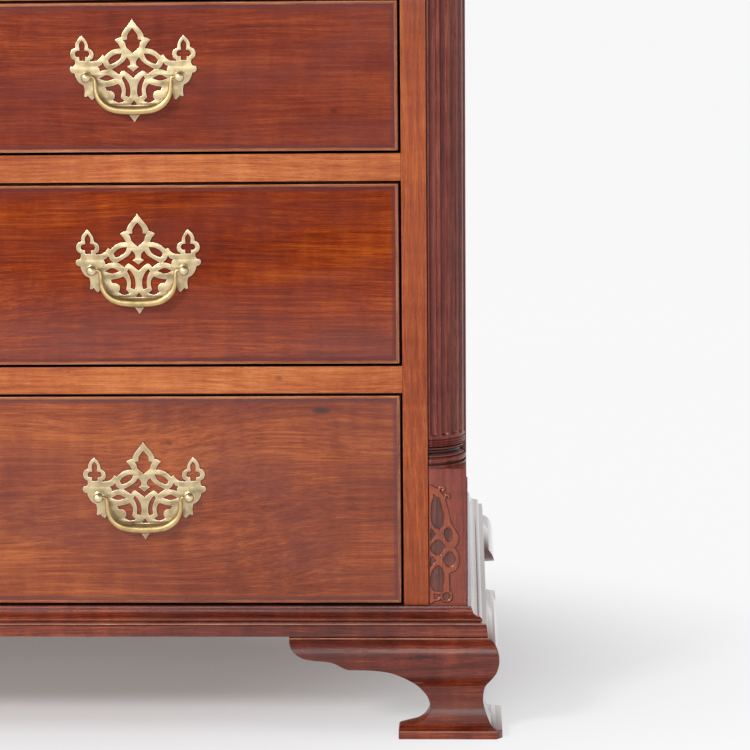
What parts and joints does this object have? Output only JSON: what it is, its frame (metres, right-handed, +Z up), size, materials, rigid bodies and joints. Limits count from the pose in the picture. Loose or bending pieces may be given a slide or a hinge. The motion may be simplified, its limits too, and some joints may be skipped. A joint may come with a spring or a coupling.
{
  "type": "chest of drawers",
  "caption": "Straight-front chest of graduated long drawers on ogee bracket feet, with fluted quarter columns, cock-beaded fronts and pierced brass pulls with swinging bails.",
  "frame": {"origin": "on the floor under the middle of the box that holds the chest", "axes": "+X across the front to the chest's own right as seen from the front, +Y from the front to the back, +Z up"},
  "size_m": [1.0932, 0.5206, 0.9075],
  "materials": {
    "drawer_mahogany": "polished",
    "bead_mahogany": "polished",
    "case_mahogany": "polished",
    "base_mahogany": "gloss",
    "secondary_wood": "plain",
    "plate_brass": "tarnished",
    "bail_brass": "worn"
  },
  "bodies": {
    "case": {"left_side": "case_mahogany", "right_side": "case_mahogany", "left_stile": "case_mahogany", "right_stile": "case_mahogany", "bottom_board": "secondary_wood", "top_board": "case_mahogany", "back_boards": "secondary_wood", "top_rail": "case_mahogany", "drawer_blades": "case_mahogany", "drawer_runners": "secondary_wood", "drawer_guides": "secondary_wood", "base_moulding_front": "base_mahogany", "base_moulding_sides": "base_mahogany", "top_moulding": "case_mahogany", "front_right_foot": "base_mahogany", "front_left_foot": "base_mahogany", "rear_right_foot": "base_mahogany", "rear_left_foot": "base_mahogany", "glue_blocks": "secondary_wood", "right_lower_plinth": "case_mahogany", "left_lower_plinth": "case_mahogany", "upper_plinths": "case_mahogany", "right_column": "case_mahogany", "left_column": "case_mahogany"},
    "drawer_1": {"drawer_1_front": "drawer_mahogany", "drawer_1_cock_bead": "bead_mahogany", "drawer_1_sides": "secondary_wood", "drawer_1_back": "secondary_wood", "drawer_1_bottom": "secondary_wood", "drawer_1_plates": "plate_brass", "drawer_1_posts": "bail_brass"},
    "drawer_2": {"drawer_2_front": "drawer_mahogany", "drawer_2_cock_bead": "bead_mahogany", "drawer_2_sides": "secondary_wood", "drawer_2_back": "secondary_wood", "drawer_2_bottom": "secondary_wood", "drawer_2_plates": "plate_brass", "drawer_2_posts": "bail_brass"},
    "drawer_3": {"drawer_3_front": "drawer_mahogany", "drawer_3_cock_bead": "bead_mahogany", "drawer_3_sides": "secondary_wood", "drawer_3_back": "secondary_wood", "drawer_3_bottom": "secondary_wood", "drawer_3_plates": "plate_brass", "drawer_3_posts": "bail_brass"},
    "drawer_4": {"drawer_4_front": "drawer_mahogany", "drawer_4_cock_bead": "bead_mahogany", "drawer_4_sides": "secondary_wood", "drawer_4_back": "secondary_wood", "drawer_4_bottom": "secondary_wood", "drawer_4_plates": "plate_brass", "drawer_4_posts": "bail_brass"},
    "drawer_1_bail_left": {"drawer_1_bail_left": "bail_brass"},
    "drawer_1_bail_right": {"drawer_1_bail_right": "bail_brass"},
    "drawer_2_bail_left": {"drawer_2_bail_left": "bail_brass"},
    "drawer_2_bail_right": {"drawer_2_bail_right": "bail_brass"},
    "drawer_3_bail_left": {"drawer_3_bail_left": "bail_brass"},
    "drawer_3_bail_right": {"drawer_3_bail_right": "bail_brass"},
    "drawer_4_bail_left": {"drawer_4_bail_left": "bail_brass"},
    "drawer_4_bail_right": {"drawer_4_bail_right": "bail_brass"}
  },
  "joints": [
    {"name": "drawer_1_slide", "type": "slide", "parent": "case", "child": "drawer_1", "axis": [0, -1, 0], "range_m": [0, 0.38]},
    {"name": "drawer_2_slide", "type": "slide", "parent": "case", "child": "drawer_2", "axis": [0, -1, 0], "range_m": [0, 0.38]},
    {"name": "drawer_3_slide", "type": "slide", "parent": "case", "child": "drawer_3", "axis": [0, -1, 0], "range_m": [0, 0.38]},
    {"name": "drawer_4_slide", "type": "slide", "parent": "case", "child": "drawer_4", "axis": [0, -1, 0], "range_m": [0, 0.38]},
    {"name": "drawer_1_bail_left_swing", "type": "hinge", "parent": "drawer_1", "child": "drawer_1_bail_left", "pos_m": [-0.1974, -0.2337, 0.802], "axis": [-1, 0, 0], "range_deg": [-5, 170]},
    {"name": "drawer_1_bail_right_swing", "type": "hinge", "parent": "drawer_1", "child": "drawer_1_bail_right", "pos_m": [0.1974, -0.2337, 0.802], "axis": [-1, 0, 0], "range_deg": [-5, 170]},
    {"name": "drawer_2_bail_left_swing", "type": "hinge", "parent": "drawer_2", "child": "drawer_2_bail_left", "pos_m": [-0.1974, -0.2337, 0.64525], "axis": [-1, 0, 0], "range_deg": [-5, 170]},
    {"name": "drawer_2_bail_right_swing", "type": "hinge", "parent": "drawer_2", "child": "drawer_2_bail_right", "pos_m": [0.1974, -0.2337, 0.64525], "axis": [-1, 0, 0], "range_deg": [-5, 170]},
    {"name": "drawer_3_bail_left_swing", "type": "hinge", "parent": "drawer_3", "child": "drawer_3_bail_left", "pos_m": [-0.1974, -0.2337, 0.46045], "axis": [-1, 0, 0], "range_deg": [-5, 170]},
    {"name": "drawer_3_bail_right_swing", "type": "hinge", "parent": "drawer_3", "child": "drawer_3_bail_right", "pos_m": [0.1974, -0.2337, 0.46045], "axis": [-1, 0, 0], "range_deg": [-5, 170]},
    {"name": "drawer_4_bail_left_swing", "type": "hinge", "parent": "drawer_4", "child": "drawer_4_bail_left", "pos_m": [-0.1974, -0.2337, 0.23665], "axis": [-1, 0, 0], "range_deg": [-5, 170]},
    {"name": "drawer_4_bail_right_swing", "type": "hinge", "parent": "drawer_4", "child": "drawer_4_bail_right", "pos_m": [0.1974, -0.2337, 0.23665], "axis": [-1, 0, 0], "range_deg": [-5, 170]}
  ]
}
